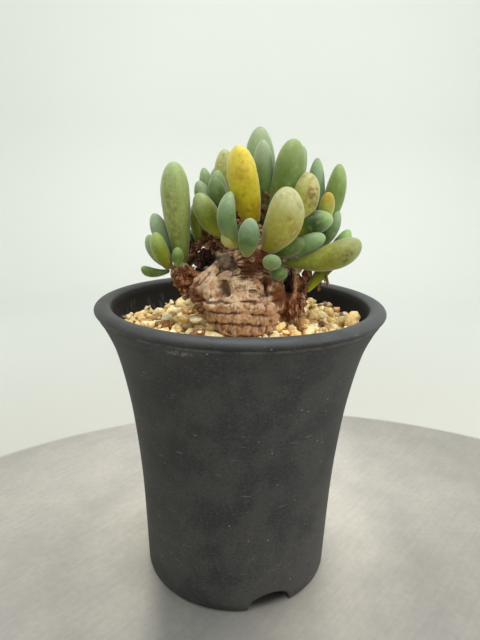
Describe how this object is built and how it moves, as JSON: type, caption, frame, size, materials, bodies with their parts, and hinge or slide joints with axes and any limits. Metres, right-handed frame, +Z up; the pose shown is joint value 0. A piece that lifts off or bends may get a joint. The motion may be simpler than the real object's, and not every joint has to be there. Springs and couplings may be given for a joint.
{
  "type": "potted caudex succulent",
  "caption": "Squat wrinkled caudex with heads of fat club-shaped leaves, in gravel in a flared pot with a rolled lip.",
  "frame": {"origin": "centre of the pot's foot, on the surface that it stands on", "axes": "+Z up through the pot's axis, -Y towards the front, +X to the right of a viewer in front"},
  "size_m": [0.09, 0.09, 0.1443],
  "materials": {
    "pot": "matte black moulded plastic, lightly scuffed",
    "mix": "damp brown granular potting mix",
    "gravel": "dry buff rounded gravel",
    "bark": "dry wrinkled bark",
    "leaf": "smooth waxy succulent leaf with a thin bloom",
    "dried": "brown papery dried leaf"
  },
  "bodies": {
    "root": {"pot": "pot", "potting_mix": "mix", "gravel": "gravel", "caudex": "bark", "leaves_left": "leaf", "leaves_mid_left": "leaf", "leaves_crown": "leaf", "leaves_front": "leaf", "leaves_front_right": "leaf", "leaves_right": "leaf", "leaves_far_right": "leaf", "leaves_low_right": "leaf", "leaves_back_left": "leaf", "leaves_back_right": "leaf", "leaves_back_low": "leaf", "dried_leaves_left": "dried", "dried_leaves_stub": "dried", "dried_leaves_right": "dried", "dried_leaves_hanging": "dried", "dried_leaves_crown": "dried"}
  },
  "joints": []
}
